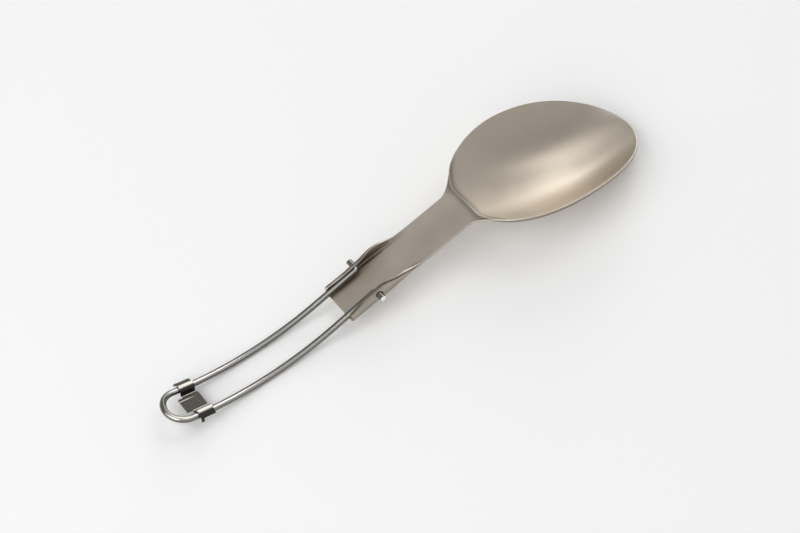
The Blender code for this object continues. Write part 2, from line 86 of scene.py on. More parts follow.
class SpoonSizes(PropertyGroup):
    """The spoon's lengths and angles."""

    overall: length("Overall length", "Open spoon from the wire loop to the bowl's tip", 0.167)
    sheet: length("Sheet", "Thickness of the head's metal", 0.00085)
    inner_edge: length("Inner edge", "Rounding of the rim's inner edge", 0.00012)
    outer_edge: length("Outer edge", "Rounding of the rim's outer edge", 0.00042)
    wire: length("Wire", "Diameter of the handle's wire", 0.0019)
    leg_gap_rear: length("Rear leg spacing", "Between the legs' middles at the loop", 0.0105)
    leg_gap_front: length("Front leg spacing", "Between the legs' middles at the pins", 0.0097)
    bow_radius: length("Bow radius", "Radius that the legs are bent to", 0.085)
    bow_rear: angle("Bow rear angle", "Slope of the legs where the loop starts", 17.5)
    bow_front: angle("Bow front angle", "Slope of the legs along the channel", 15.9)
    leg_straight: length("Straight leg", "Straight run of the legs behind the pins", 0.01495)
    pin_bend: length("Pin bend", "Radius that each pin is bent to", 0.00105)
    pin_proud: length("Pin length", "How far a pin stands out of the channel", 0.0015)
    pin_clearance: length("Pin clearance", "Between a pin and its hole", 0.0003)
    leg_clearance: length("Leg clearance", "Between the legs and the channel's lips", 0.00012)
    floor_clearance: length("Floor clearance", "Between the legs and the channel's floor", 0.0001)
    channel: length("Channel", "From the channel's end to the pins", 0.0102)
    floor_angle: angle("Incline", "Slope of the channel and the neck", 12.95)
    lip_room: length("Lip room", "Between the legs and the walls, past the leg clearance", 0.00023)
    lip_curl: length("Lip curl", "How far the channel's lips curl in over the legs", 0.0012)
    lip_curl_less: length("Lip opening", "How much less the lips curl in at the channel's end", 0.00055)
    channel_bend: length("Channel bend", "Inner radius of the channel's folds", 0.0006)
    flange: length("Flange", "Height of the channel's sides above its floor", 0.00335)
    flange_drop: length("Flange drop", "How much lower the sides are at the channel's end", 0.0011)
    flange_round: length("Flange corner", "Rounding of the sides' rear corners", 0.0005)
    flange_rise: length("Flange rise", "Length over which the sides reach their height", 0.013)
    curl_rise: length("Curl rise", "Length over which the lips reach their full curl", 0.0065)
    curl_level: length("Curl level", "How far past the pins the lips keep their curl", 0.001)
    curl_fall: length("Curl fall", "Length past the pins over which the lips stand up again", 0.0063)
    flange_upright: length("Flange upright", "Length that the sides stay upright past the pins", 0.0035)
    flange_opening: length("Flange opening", "Length over which the sides open into the neck", 0.017)
    flange_level: length("Flange level", "Length that the sides keep their height past the pins", 0.0085)
    flange_run_out: length("Flange run-out", "Length over which the sides then get lower", 0.0105)
    neck: length("Neck", "Width of the neck", 0.0126)
    neck_edge: length("Neck edge", "Width of the strip that turns up to be the sides", 0.0013)
    neck_trough: length("Neck trough", "Depth of the shallow hollow along the neck", 0.00105)
    bowl: length("Bowl width", "Inside width of the bowl", 0.0405)
    bowl_front: length("Bowl front", "From the bowl's widest place to its tip", 0.0354)
    bowl_back: length("Bowl back", "From the bowl's widest place to its back", 0.0282)
    bowl_deep: length("Deepest place", "From the bowl's deepest place to its tip", 0.0213)
    back_wall: length("Back wall", "Length of the bowl's back wall", 0.0409)
    back_rise: length("Back rise", "Height of the bowl's back wall", 0.01395)
    tip_rise: length("Tip rise", "Height of the tip above the bowl's deepest place", 0.00306)
    rim: length("Rim", "Height of the rim above the table", 0.0158)
    rim_level: length("Rim run", "Length from the tip over which the rim falls", 0.0457)
    crest: length("Crest", "How softly the neck rolls over into the bowl", 0.0005)
    # Painted shade: the colour beside the crest is darkened
    crease: length("Crease", "Reach of the pressed tone beside the crest", 0.0010)
    shoulder: length("Shoulder", "Length of the curve from the neck into the bowl", 0.0095)
    shoulder_place: length("Shoulder place", "From the bowl's widest place to the shoulder", 0.0213)
    clip_sheet: length("Clip sheet", "Thickness of the clip's metal", 0.0003)
    clip_clearance: length("Clip clearance", "Between the clip's tubes and the legs", 0.00022)
    clip_tube: length("Clip tube", "Length of the clip's tubes", 0.00465)
    clip_plate: length("Clip plate", "Length of the clip's plate", 0.0066)
    clip_depth: length("Clip depth", "How far the plate lies below the legs' middles", 0.0005)
    clip_lead: length("Clip lead", "How far the plate runs past the tubes' front", 0.00035)
    clip_corner: length("Clip corner", "Rounding of the plate's corners", 0.0003)
    clip_foot: length("Clip foot", "Bend where the plate turns up", 0.00035)
    clip_bead: length("Clip bead", "Width of the raised line beside each tube", 0.0006)
    clip_bead_rise: length("Clip bead rise", "Height of the raised line", 0.0002)
    clip_bead_place: length("Clip bead place", "From the raised line to the plate's bend", 0.00065)
    clip_mark_place: length("Clip mark place", "From the plate's middle to its second raised line", 0.00155)
    clip_mark_rise: length("Clip mark rise", "Height of the second raised line", 0.00012)
    clip_flap: angle("Clip flap", "Slope of the flaps past the legs", 26)
    clip_flap_run: length("Clip flap run", "Length of the flaps past the legs", 0.00175)
    clip_tab: length("Clip tab", "Length of the tab at the tubes' rear", 0.0008)
    clip_tab_drop: length("Clip tab drop", "How far the tab hangs down", 0.0009)
    clip_place: angle("Clip place", "Where the clip is parked, round the bow", 14.7)


class SpoonColours(PropertyGroup):
    """The spoon's colours and the stage's."""

    titanium: colour("Blasted titanium", "Colour of the head", (0.60, 0.53, 0.44))
    # Painted highlight: the colour painted on the near side of the rim's inner edge
    titanium_painted_highlight: colour("Rubbed edge", "Colour of the head's rubbed edges", (0.72, 0.66, 0.58))
    # Painted shade: the colour painted on the head's outer edge, the far side of its rim and the channel's
    # sides
    titanium_painted_shade: colour("Handled metal", "Colour of the head's outer edge and of the channel's sides",
                           (0.22, 0.19, 0.16))
    # Painted highlight: the bright band painted on the side of the wire that faces up and near
    wire: colour("Polished wire", "Colour of the handle", (0.95, 0.92, 0.86))
    # Painted shade: the colour painted on the wire's lower half
    wire_painted_shade: colour("Wire underside", "Colour of the handle's duller lower half", (0.20, 0.19, 0.17))
    # Painted highlight: the colour painted on the clip's raised lines and the tops of its tubes
    clip: colour("Polished clip", "Colour of the clip", (0.62, 0.58, 0.52))
    # Painted shade: the dark colour painted over the rest of the clip's sheet
    clip_plate: colour("Clip plate", "Colour of the clip's darker plate", (0.07, 0.063, 0.057))
    table: colour("Table", "Colour of the table and the backdrop", (0.97, 0.965, 0.955))


# Shader maths


class Socket:
    """A node's output. Plain sums on it add Math nodes."""

    def __init__(self, finish, socket):
        self.finish = finish
        self.socket = socket

    def maths(self, operation, *values, clamp=False):
        """A Math node on these values."""
        settings = {"operation": operation, "use_clamp": clamp}
        return self.finish.node("ShaderNodeMath", settings, dict(enumerate(values)))

    def __add__(self, other):
        return self.maths("ADD", self, other)

    def __radd__(self, other):
        return self.maths("ADD", other, self)

    def __sub__(self, other):
        return self.maths("SUBTRACT", self, other)

    def __rsub__(self, other):
        return self.maths("SUBTRACT", other, self)

    def __mul__(self, other):
        return self.maths("MULTIPLY", self, other)

    def __neg__(self):
        return self.maths("SUBTRACT", 0, self)

    def __abs__(self):
        return self.maths("ABSOLUTE", self)

    def clamped(self):
        """The value kept between nought and one."""
        return self.maths("MULTIPLY", self, 1, clamp=True)


class Finish:
    """A material being made: its nodes come from one method, and its shader's sockets are set by name."""

    def __init__(self, name):
        self.material = bpy.data.materials.new(name)
        self.material.use_nodes = True
        self.tree = self.material.node_tree
        self.shader = self.tree.nodes["Principled BSDF"]

    def node(self, kind, settings=None, values=None, output=0):
        """Add a node of this kind, set it up, fill its sockets, and give one of its outputs."""
        made = self.tree.nodes.new(kind)
        for name, value in (settings or {}).items():
            setattr(made, name, value)
        for place, value in (values or {}).items():
            self.fill(made.inputs[place], value)
        return Socket(self, made.outputs[output])

    def fill(self, socket, value):
        """Link a socket, or give it a plain value. Colours come without their fourth part."""
        if isinstance(value, Socket):
            self.tree.links.new(value.socket, socket)
        elif socket.type == "RGBA":
            socket.default_value = (*value, 1)
        else:
            socket.default_value = value

    def set(self, **values):
        """Set the shader's sockets: base_color fills Base Color, and so on."""
        for name, value in values.items():
            label = " ".join(word.capitalize() for word in name.split("_"))
            self.fill(self.shader.inputs[label], value)

    def place(self):
        """The point on the piece, in metres."""
        return self.node("ShaderNodeTexCoord", output="Object")

    def attribute(self, name, output="Fac"):
        """A value that the mesh holds at each of its points."""
        return self.node("ShaderNodeAttribute", {"attribute_name": name}, output=output)

    def stretched(self, vector, scale):
        """A vector with each of its axes scaled."""
        return self.node("ShaderNodeVectorMath", {"operation": "MULTIPLY"}, {0: vector, 1: scale})

    def noise(self, vector, grain, detail, roughness):
        """Soft noise whose blotches are one grain across, from nought to one."""
        values = {"Vector": vector, "Scale": 1 / grain, "Detail": detail, "Roughness": roughness}
        return self.node("ShaderNodeTexNoise", {}, values)

    def ramp(self, value, stops):
        """A value read through a ramp, whose stops are places and grey levels."""
        read = self.node("ShaderNodeValToRGB", {}, {0: value})
        elements = read.socket.node.color_ramp.elements
        while len(elements) < len(stops):
            elements.new(1)
        for element, (place, level) in zip(elements, stops):
            element.position = place
            element.color = (level, level, level, 1)
        return read

    def mix(self, share, first, second):
        """A colour between two."""
        return self.node("ShaderNodeMix", {"data_type": "RGBA"}, {0: share, 6: first, 7: second}, output=2)

    def toned(self, shade, value):
        """A colour made darker or brighter by a factor."""
        return self.node("ShaderNodeHueSaturation", {}, {"Color": shade, "Value": value})

    def axis(self, vector, number):
        """One part of a vector: 0 is along the spoon, 1 across it and 2 up."""
        return self.node("ShaderNodeSeparateXYZ", {}, {0: vector}, output=number)

    def bump(self, height, distance, strength):
        """A normal from a height in shares of a distance."""
        return self.node("ShaderNodeBump", {}, {"Height": height, "Distance": distance, "Strength": strength})


# Each noise has its grains' size in metres, its detail and its roughness. A noise whose size is 1 is read
# on a stretched place instead. Each bump has its depth in metres and its strength.
BLAST_NOISE = (0.00022, 3, 0.6)
BLAST_BUMP = (0.000012, 0.6)
MOTTLE_NOISE = (0.006, 3, 0.5)
SCUFF_NOISE = (1, 2, 0.5)
SCUFFS_PER_METRE = (120, 5200, 900)
SCUFF_SHARE = [(0.62, 0), (0.72, 1)]
# How far mottling and grain shift the tone, how far the shade painted at the crease darkens it, and what the
# first two add on average
MOTTLE_TONE, GRAIN_TONE, CREASE_SHADE = 0.12, 0.10, 0.6
MEAN_TONE = 0.11
# How much of the highlight colour is painted on the rim's near inner edge
EDGE_SHARE = 0.75
TITANIUM_ROUGHNESS = 0.40


def titanium_finish(colours):
    """Bead-blasted titanium: a fine even grain, faint mottling and scuffs, a painted highlight on the rim's
    near inner edge, painted shade on the outer edge and the channel's sides, and painted shade at the crease."""
    finish = Finish("blasted_titanium")
    place = finish.place()
    rubbed = finish.attribute("rubbed")
    grain = finish.noise(place, *BLAST_NOISE)
    mottle = finish.noise(place, *MOTTLE_NOISE)
    scuff = finish.noise(finish.stretched(place, SCUFFS_PER_METRE), *SCUFF_NOISE)
    scuff = finish.ramp(scuff, SCUFF_SHARE)
    # The tone is lowered where shade is painted beside the crest
    tone = mottle * MOTTLE_TONE + grain * GRAIN_TONE - MEAN_TONE - finish.attribute("creased") * CREASE_SHADE
    # Painted highlight on the rim's near inner edge; painted shade on the outer edge, far inner edge and
    # channel's sides
    edge = finish.mix((rubbed * EDGE_SHARE).clamped(), colours.titanium, colours.titanium_painted_highlight)
    base = finish.mix((-rubbed).clamped(), edge, colours.titanium_painted_shade)
    rough = TITANIUM_ROUGHNESS + (mottle - 0.5) * 0.06 + (grain - 0.5) * 0.05
    finish.set(base_color=finish.toned(base, 1 + tone), metallic=1.0,
               roughness=rough - abs(rubbed) * 0.14 - scuff * 0.03,
               normal=finish.bump(grain + scuff * 0.25, *BLAST_BUMP))
    return finish.material


DRAWN_NOISE = (0.00012, 2, 0.6)
DRAWN_BUMP = (0.000006, 0.5)
WIRE_SMUDGES = (0.004, 3, 0.5)
WIRE_ROUGHNESS = 0.16
# Where the painted highlight band starts and is full
WIRE_HIGHLIGHT_SHARE = [(0.86, 0), (0.97, 1)]


def wire_finish(colours):
    """Polished drawn wire: a painted highlight on top and painted shade below, with faint lines along it and
    soft smudges.
    """
    finish = Finish("polished_wire")
    lines = finish.noise(finish.attribute("drawn", "Vector"), *DRAWN_NOISE)
    smudge = finish.noise(finish.place(), *WIRE_SMUDGES)
    rubbed = finish.ramp(finish.attribute("rubbed") + (smudge - 0.5) * 0.03, WIRE_HIGHLIGHT_SHARE)
    shade = finish.mix(rubbed, colours.wire_painted_shade, colours.wire)
    finish.set(base_color=finish.toned(shade, 1.05 - smudge * 0.12), metallic=1.0,
               roughness=WIRE_ROUGHNESS + smudge * 0.08 + (lines - 0.5) * 0.06,
               normal=finish.bump(lines, *DRAWN_BUMP))
    return finish.material


ROLLED_NOISE = (1, 2, 0.6)
ROLLED_PER_METRE = (200, 9000, 2500)
ROLLED_BUMP = (0.000008, 0.5)
CLIP_SMUDGES = (0.0015, 3, 0.55)
CLIP_ROUGHNESS = 0.24
# Painted highlights, read in centimetres across the clip: on the raised lines, the tubes' tops and the far
# side's second raised line. The fade is read rearward from its start.
CENTIMETRES = 100
FADE_START = 7
RAISED_LINES = [(0.265, 0), (0.28, 0.8), (0.295, 0.8), (0.31, 0)]
TUBE_TOPS = [(0.42, 0), (0.47, 1), (0.53, 1), (0.59, 0)]
SECOND_LINE = [(0.135, 0), (0.15, 0.9), (0.16, 0.9), (0.175, 0)]
SECOND_LINE_FADE = [(0.25, 0), (0.5, 1)]


def clip_finish(colours):
    """Polished folded sheet with fine rolling lines: a dark colour of painted shade, and painted highlights
    on its raised lines and the tops of its tubes."""
    finish = Finish("polished_clip")
    place = finish.place()
    lines = finish.noise(finish.stretched(place, ROLLED_PER_METRE), *ROLLED_NOISE)
    smudge = finish.noise(place, *CLIP_SMUDGES)
    across = finish.axis(place, 1) * CENTIMETRES
    rubbed = finish.ramp(abs(across), RAISED_LINES + TUBE_TOPS)
    fade = finish.ramp(finish.axis(place, 0) * -CENTIMETRES - FADE_START, SECOND_LINE_FADE)
    bright = (rubbed + finish.ramp(across, SECOND_LINE) * fade).clamped()
    # Where no highlight is painted, the sheet takes the painted shade colour
    shade = finish.mix(bright, colours.clip_plate, colours.clip)
    finish.set(base_color=finish.toned(shade, 1.08 - smudge * 0.2), metallic=1.0,
               roughness=CLIP_ROUGHNESS + smudge * 0.12 + (lines - 0.5) * 0.06,
               normal=finish.bump(lines + smudge * 0.5, *ROLLED_BUMP))
    return finish.material


# Mesh helpers


SHARP_ANGLE = radians(50)
ROUND_SIDES = 64


def added(name, data):
    """A new object in the scene."""
    item = bpy.data.objects.new(name, data)
    bpy.context.scene.collection.objects.link(item)
    return item


def meshed(name, points, faces):
    """A new object in the scene, with a mesh of these points and faces."""
    mesh = bpy.data.meshes.new(name)
    mesh.from_pydata(points, [], faces)
    return added(name, mesh)


def mesh_piece(name, points, faces, material, body, node, attributes=None):
    """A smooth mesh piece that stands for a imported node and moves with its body. Each attribute holds one
    number or one vector for each point."""
    piece = meshed(name, points, faces)
    mesh = piece.data
    for label, values in (attributes or {}).items():
        kind, field = ("FLOAT", "value") if np.ndim(values) == 1 else ("FLOAT_VECTOR", "vector")
        held = mesh.attributes.new(label, kind, "POINT")
        held.data.foreach_set(field, np.ravel(values).astype(np.float32))
    mesh.materials.append(material)
    mesh.shade_smooth()
    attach(piece, body)
    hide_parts(node)
    return piece


def grid_faces(rows, columns, start=0, turn=1, closed=False):
    """Quads over a grid of points numbered row by row. A closed grid joins its last column to its first."""
    wide = columns if closed else columns - 1
    row, column = np.meshgrid(np.arange(rows - 1), np.arange(wide), indexing="ij")
    following = (column + 1) % columns
    corners = [row * columns + column, (row + 1) * columns + column, (row + 1) * columns + following,
               row * columns + following]
    return np.stack(corners[::turn], axis=-1).reshape(-1, 4) + start


def modify(piece, kind, **settings):
    """Add a modifier with these settings."""
    modifier = piece.modifiers.new(kind, kind)
    for name, value in settings.items():
        setattr(modifier, name, value)


def apply_modifiers(piece):
    """Make the piece's shown shape its own mesh."""
    shown = piece.evaluated_get(bpy.context.evaluated_depsgraph_get())
    mesh = bpy.data.meshes.new_from_object(shown)
    piece.modifiers.clear()
    piece.data = mesh


def vectors(x, y, z):
    """Points or directions from their three parts, each an array or one number."""
    return np.stack(np.broadcast_arrays(x, y, z), axis=-1)


def spread(start, end, steps):
    """Values at even steps from start to end, both included."""
    return np.linspace(start, end, steps + 1)


def smooth_step(value, start, end):
    """Rise smoothly from nought at start to one at end."""
    share = np.clip((value - start) / (end - start), 0, 1)
    return share * share * (3 - 2 * share)


def smooth_min(first, second, blend):
    """The lower of two heights, rounded where they cross and lowered by a quarter of the blend there."""
    overlap = np.maximum(blend - np.abs(first - second), 0)
    return np.minimum(first, second) - overlap ** 2 / (4 * blend)


# The head


# How blunt the tip is, and the powers of the dish's rise along the spoon, across it and at its rim
BLUNT_TIP = 0.53
BACK_POWER = 1.8
ACROSS_POWER = 2.35
RIM_FALL = 2.1
# The lips' least curl, which keeps their arc from being straight, and where the end's rounding dies out
LEAST_CURL = 0.00001
END_PULL_RUN = 0.001
# How many rows, columns and steps the grids have
END_ROWS, CHANNEL_ROWS, NECK_ROWS, BOWL_ROWS, FRONT_ROWS = 11, 83, 19, 130, 45
BASE_COLUMNS, FOLD_STEPS, WALL_STEPS = 49, 6, 9
EDGE_STEPS = 5
# Painted highlight and shade, from 1, bright, to -1, dark: how much of the shade painted on the sides is gone
# at
# # their top, where across the spoon the rim's inner edge turns from painted highlight to painted shade and
# by how
# # much, its first ring's share, and the painted shade on the outer edge's rings
SIDE_SHADE_FALL = 0.7
RIM_TURN = (-0.003, 0.006)
FAR_RIM_LOSS = 1.3
FIRST_RING_SHARE = 0.6
OUTER_EDGE_SHADE = (-0.35, -0.8, -1, -1)


class HeadShape:
    """The head's inner face, and where its parts begin and end along the spoon."""

    def __init__(self, size):
        self.size = size
        self.leg_y = size.leg_gap_front / 2
        self.wall_y = self.leg_y + size.wire / 2 + size.leg_clearance + size.lip_room
        self.wall_outside = self.wall_y + size.sheet
        self.channel_end = PIN[0] - size.channel
        underside = PIN[2] - size.channel * tan(size.bow_front) - size.wire / 2 / cos(size.bow_front)
        self.floor_end = underside - size.floor_clearance / cos(size.bow_front)
        self.tip = size.overall / 2 - size.sheet * sin(atan(2 * size.tip_rise / size.bowl_deep))
        self.bottom = self.tip - size.bowl_deep
        self.widest = self.tip - size.bowl_front
        self.shoulder_end = self.widest - size.shoulder_place
        self.opening_start = PIN[0] + size.flange_upright
        self.opening_end = self.opening_start + size.flange_opening

    def floor(self, x):
        """Top of the incline: a straight line."""
        return self.floor_end + (x - self.channel_end) * tan(self.size.floor_angle)

    def flange(self, x):
        """Height of the channel's sides: a smooth rise, a smooth fall and a rounded rear corner."""
        size = self.size
        rise_end = self.channel_end + size.flange_rise
        rise = size.flange_drop * (1 - smooth_step(x, self.channel_end, rise_end))
        fall_start = PIN[0] + size.flange_level
        fall = 1 - smooth_step(x, fall_start, fall_start + size.flange_run_out)
        corner = np.clip(1 - (x - self.channel_end) / size.flange_round, 0, 1)
        return (size.flange - rise) * fall - size.flange_round * (1 - np.sqrt(1 - corner * corner))

    def curl(self, x):
        """How far the lips curl in: more from the channel's end on, then none past the pins."""
        size = self.size
        rise_end = self.channel_end + size.curl_rise
        level_end = PIN[0] + size.curl_level
        less = size.lip_curl_less * (1 - smooth_step(x, self.channel_end, rise_end))
        left = 1 - smooth_step(x, level_end, level_end + size.curl_fall)
        return (size.lip_curl - less) * left + LEAST_CURL

    def half_width(self, x):
        """Half the width in plan: the neck, a cubic shoulder, then an ellipse, blunter towards the tip."""
        size = self.size
        half = size.bowl / 2
        back_share = np.clip((self.widest - x) / size.bowl_back, 0, 1)
        front_share = np.clip((x - self.widest) / size.bowl_front, 0, 1)
        back = half * np.sqrt(1 - back_share ** 2)
        front = half * (1 - front_share ** 2) ** BLUNT_TIP
        end_share = size.shoulder_place / size.bowl_back
        end_half = half * sqrt(1 - end_share ** 2)
        end_slope = half ** 2 * end_share / (size.bowl_back * end_half)
        share = np.clip((x - self.shoulder_end + size.shoulder) / size.shoulder, 0, 1)
        weight = share * share * (3 - 2 * share)
        lean = end_slope * size.shoulder * (share ** 3 - share ** 2)
        shoulder = size.neck / 2 * (1 - weight) + end_half * weight + lean
        return np.where(x > self.widest, front, np.where(x > self.shoulder_end, back, shoulder))

    def incline_and_dish(self, x, y):
        """Heights of the incline, with its shallow trough, and of the dish: a power of the share of the way
        along the middle, and another across."""
        size = self.size
        back_share = np.maximum(self.bottom - x, 0) / size.back_wall
        front_share = np.maximum(x - self.bottom, 0) / size.bowl_deep
        centre = size.sheet + size.back_rise * back_share ** BACK_POWER + size.tip_rise * front_share ** 2
        fall_share = np.clip((x - self.tip + size.rim_level) / size.rim_level, 0, 1)
        rim = size.rim - (size.rim - size.sheet - size.tip_rise) * fall_share ** RIM_FALL
        half = np.maximum(self.half_width(x), size.sheet)
        dish = centre + (rim - centre) * np.abs(y / half) ** ACROSS_POWER
        hollow = smooth_step(x, self.opening_start, self.opening_end)
        trough = size.neck_trough * hollow * (1 - np.clip(np.abs(y) / (size.neck / 2), 0, 1) ** 2)
        return self.floor(x) - trough, dish

    def height(self, x, y):
        """The incline cut by the dish."""
        incline, dish = self.incline_and_dish(x, y)
        return smooth_min(incline, dish, self.size.crest)

    def crease(self, x, y):
        """How near a place is to the crease between the neck and the bowl, from nought to one, which sets the
        shade painted there.
        """
        incline, dish = self.incline_and_dish(x, y)
        return np.exp(-((incline - dish) / self.size.crease) ** 2)

    def painted_side_shade(self, points):
        """Shade painted on the channel's sides, as a number from -1, dark, to nought: most at the floor, less
        towards the top, and fading out where the sides open."""
        x, y, z = points.T
        up_share = np.clip((z - self.floor(x)) / np.maximum(self.flange(x), self.size.sheet), 0, 1)
        sides = np.abs(y) > self.wall_y - 2 * self.size.channel_bend
        upright = 1 - smooth_step(x, self.opening_start, self.opening_end)
        return -np.where(sides, 1 - SIDE_SHADE_FALL * up_share, 0) * upright

    def side(self, x, up_share, turn, pull):
        """Points (y, z) up one side of the channel: round the fold, then up an arc that curls in to a lip."""
        bend = self.size.channel_bend
        rise = np.maximum(self.flange(x), 2 * bend) - bend
        lean = 2 * np.arctan2(self.curl(x), rise)
        radius = rise / np.sin(lean)
        at = lean * up_share * (1 - pull / (radius * lean))
        y = self.wall_y - bend + bend * np.sin(turn) - radius * (1 - np.cos(at))
        z = self.floor(x) + bend * (1 - np.cos(turn)) + radius * np.sin(at)
        return y, z


def head_rows(shape):
    """Where the head's rows are along X: close at the channel's end, then even runs."""
    corner = shape.channel_end + shape.size.flange_round
    neck_end = shape.shoulder_end - shape.size.shoulder
    ease = spread(0, 1, END_ROWS)[:-1] ** 2
    return np.concatenate([
        shape.channel_end + (corner - shape.channel_end) * ease,
        spread(corner, shape.opening_end, CHANNEL_ROWS)[:-1],
        spread(shape.opening_end, neck_end, NECK_ROWS)[:-1],
        np.linspace(neck_end, shape.widest, BOWL_ROWS),
    ])


def head_grid(shape, pull):
    """The inner face as a grid of points and unit normals, with its outline pulled in by a distance.

    Behind the bowl's widest place each row is straight across: a floor, a fold and a wall that open
    together into a flat edge strip. Ahead of it the rows spread as a square that is bent to fill
    half a disc, x = u sqrt(1 - v v / 2) and y = v sqrt(1 - u u / 2), stretched to the bowl's outline.
    """
    size = shape.size
    x = head_rows(shape)
    end_pull = pull * (1 - smooth_step(x, shape.channel_end, shape.channel_end + END_PULL_RUN))
    x = np.maximum(x, shape.channel_end + end_pull)[:, None]
    opened = smooth_step(x, shape.opening_start, shape.opening_end)
    edge = shape.half_width(x)
    strip = size.neck_edge
    closed_half = shape.wall_y - size.channel_bend
    base_half = closed_half + (edge - strip - closed_half) * opened
    base_y = np.linspace(-1, 1, BASE_COLUMNS) * base_half
    turn = np.concatenate([spread(0, pi / 2, FOLD_STEPS)[1:], np.full(WALL_STEPS, pi / 2)])
    up_share = np.concatenate([np.zeros(FOLD_STEPS), spread(0, 1, WALL_STEPS)[1:]])
    wall_y, wall_z = shape.side(x, up_share, turn, pull)
    strip_share = spread(0, 1, FOLD_STEPS + WALL_STEPS)[1:]
    flat_y = edge - strip + (strip - pull) * strip_share
    side_y = wall_y + (flat_y - wall_y) * opened
    side_z = wall_z + (shape.height(x, flat_y) - wall_z) * opened
    y = np.concatenate([-side_y[:, ::-1], base_y, side_y], axis=1)
    z = np.concatenate([side_z[:, ::-1], shape.height(x, base_y), side_z], axis=1)
    back = vectors(x, y, z)
    along, across = np.gradient(back, axis=0), np.gradient(back, axis=1)
    along[x[:, 0] < shape.opening_start] = (cos(size.floor_angle), 0, sin(size.floor_angle))
    back_normals = np.cross(along, across)

    half = size.bowl / 2
    v = y[-1] / (half - pull)
    u = np.sin(spread(0, pi / 2, FRONT_ROWS))[1:, None]
    disc_x = u * np.sqrt(1 - v * v / 2)
    disc_y = v * np.sqrt(1 - u * u / 2)
    front_x = shape.widest + (size.bowl_front - pull) * disc_x
    rounder = np.maximum(1 - disc_x ** 2, 1e-9) ** (BLUNT_TIP - 0.5)
    front_y = (half - pull) * disc_y * rounder
    step = 1e-6
    slope_x = (shape.height(front_x + step, front_y) - shape.height(front_x - step, front_y)) / (2 * step)
    slope_y = (shape.height(front_x, front_y + step) - shape.height(front_x, front_y - step)) / (2 * step)
    points = np.concatenate([back, vectors(front_x, front_y, shape.height(front_x, front_y))])
    normals = np.concatenate([back_normals, vectors(-slope_x, -slope_y, 1)])
    return points, normals / np.linalg.norm(normals, axis=2, keepdims=True)


def outline(grid):
    """A grid's outline in order: the near side, the front, the far side, then the rear."""
    return np.concatenate([grid[:-1, 0], grid[-1, :-1], grid[:0:-1, -1], grid[0, :0:-1]])


def head_mesh(shape):
    """Points, faces, and the painted light and painted crease shade of the head: an inner face, an outer face
    one sheet below it, and a rim between them, whose two edges are rounded by quarter ellipses. The channel's
    sides carry painted shade. The rim's inner edge carries a painted highlight on the near side and painted
    shade on the far side, and its outer edge carries painted shade."""
    size = shape.size
    turns = spread(0, pi / 2, EDGE_STEPS)
    inner = [(size.inner_edge * (1 - sin(turn)), size.inner_edge * (1 - cos(turn))) for turn in turns]
    depth = size.sheet - size.inner_edge
    outer = [(size.outer_edge * (1 - cos(turn)), size.inner_edge + depth * sin(turn)) for turn in turns]
    profile = inner + outer[1:]
    grids = [head_grid(shape, pull) for pull, down in profile]
    rings = [outline(points - normals * down) for (points, normals), (pull, down) in zip(grids, profile)]
    upper, lower = grids[0][0], grids[-1][0] - grids[-1][1] * size.sheet
    rows, columns = upper.shape[:2]
    count = rows * columns
    numbers = np.arange(count).reshape(rows, columns)
    upper_ring, lower_ring = outline(numbers), outline(numbers) + count
    middle = np.arange((len(rings) - 2) * len(upper_ring)).reshape(len(rings) - 2, -1) + 2 * count
    ring_numbers = np.concatenate([upper_ring[None], middle, lower_ring[None]])
    following = np.roll(ring_numbers, -1, axis=1)
    rim = np.stack([ring_numbers[:-1], ring_numbers[1:], following[1:], following[:-1]], axis=-1)
    points = np.concatenate([upper.reshape(-1, 3), lower.reshape(-1, 3), np.concatenate(rings[1:-1])])
    faces = np.concatenate([grid_faces(rows, columns), grid_faces(rows, columns, count, -1),
                            rim.reshape(-1, 4)])
    # Painted shade on the channel's sides, then painted highlight and shade on the rim's edges
    rubbed = shape.painted_side_shade(points)
    inner_edge = 1 - FAR_RIM_LOSS * smooth_step(rings[0][:, 1], *RIM_TURN)
    outer_edge = np.repeat(OUTER_EDGE_SHADE, len(upper_ring))
    rubbed[2 * count:] = np.concatenate([np.tile(inner_edge, EDGE_STEPS), outer_edge])
    rubbed[upper_ring] = FIRST_RING_SHARE * inner_edge
    rubbed[lower_ring] = -1
    upper_x, upper_y = points[:count, :2].T
    # Painted shade beside the crest between the neck and the bowl, on the inner face only
    creased = np.zeros(len(points))
    creased[:count] = shape.crease(upper_x, upper_y) * (upper_x > shape.opening_end)
    return points, faces, rubbed, creased


def pin_hole_cutter(shape):
    """A round bar along the pins' axis, wide enough to cut both holes."""
    size = shape.size
    turn = np.linspace(0, 2 * pi, ROUND_SIDES, endpoint=False)
    radius = size.wire / 2 + size.pin_clearance
    reach = shape.wall_outside + size.pin_proud
    ring = vectors(np.cos(turn) * radius, 0, np.sin(turn) * radius)
    points = np.concatenate([ring + PIN + (0, -reach, 0), ring + PIN + (0, reach, 0)])
    faces = grid_faces(2, ROUND_SIDES, closed=True, turn=-1).tolist()
    faces += [list(range(ROUND_SIDES)), list(range(2 * ROUND_SIDES - 1, ROUND_SIDES - 1, -1))]
    return meshed("pin_hole_cutter", points, faces)


class SPOON_OT_head(Operator):
    """Build the pressed head: channel, neck and bowl"""

    bl_idname = "spoon.head"
    bl_label = "Head"

    def execute(self, context):
        shape = HeadShape(context.scene.spoon_sizes)
        points, faces, rubbed, creased = head_mesh(shape)
        head = mesh_piece("head_shell", points, faces, titanium_finish(context.scene.spoon_colours), "head",
                          "spoon_head", {"rubbed": rubbed, "creased": creased})
        cutter = pin_hole_cutter(shape)
        modify(head, "BOOLEAN", operation="DIFFERENCE", solver="EXACT", object=cutter)
        apply_modifiers(head)
        head.data.set_sharp_from_angle(angle=SHARP_ANGLE)
        bpy.data.objects.remove(cutter)
        return {"FINISHED"}


# The wire handle


